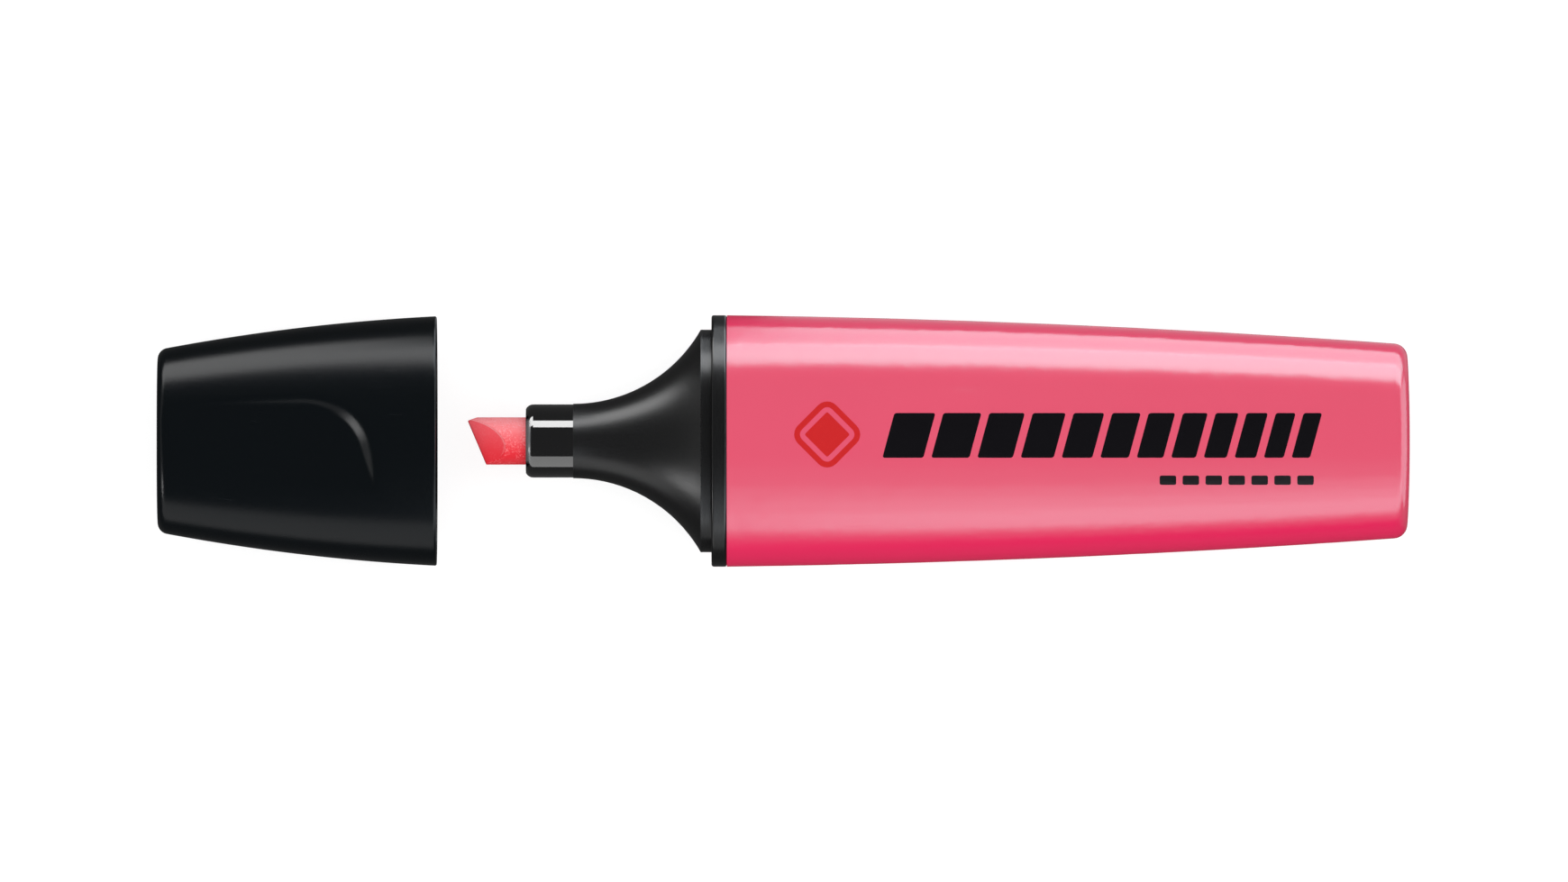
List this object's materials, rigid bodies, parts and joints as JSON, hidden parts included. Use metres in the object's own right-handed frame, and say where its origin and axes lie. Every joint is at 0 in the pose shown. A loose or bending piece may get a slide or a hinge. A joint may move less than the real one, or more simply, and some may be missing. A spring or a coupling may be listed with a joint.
{
  "type": "highlighter",
  "caption": "Flat oval highlighter pen with a closed-tail barrel, a flared front, a slanted chisel nib and a pull-off cap shown off the nib in line with the pen.",
  "frame": {"origin": "on the pen's axis, in the front face of the collar, where the shut cap stops", "axes": "+X along the axis from the nib to the tail, +Y across the width on the side of the nib's long corner, +Z out of the broad face"},
  "size_m": [0.1343, 0.027, 0.017],
  "materials": {
    "barrel_plastic": "gloss",
    "grip_plastic": "satin",
    "neck_plastic": "gloss",
    "nib_fibre": "matte",
    "reservoir_fibre": "matte",
    "wrap_film": "gloss",
    "cap_plastic": "satin",
    "seal_plastic": "satin"
  },
  "bodies": {
    "pen": {"barrel": "barrel_plastic", "front_section": "grip_plastic", "nib_holder": "neck_plastic", "nib": "nib_fibre", "ink_reservoir": "reservoir_fibre", "reservoir_film": "wrap_film"},
    "cap": {"cap_shell": "cap_plastic", "inner_cap": "seal_plastic"}
  },
  "joints": [
    {"name": "cap_slide", "type": "slide", "parent": "pen", "child": "cap", "axis": [1, 0, 0], "range_m": [0, 0.02948]}
  ]
}
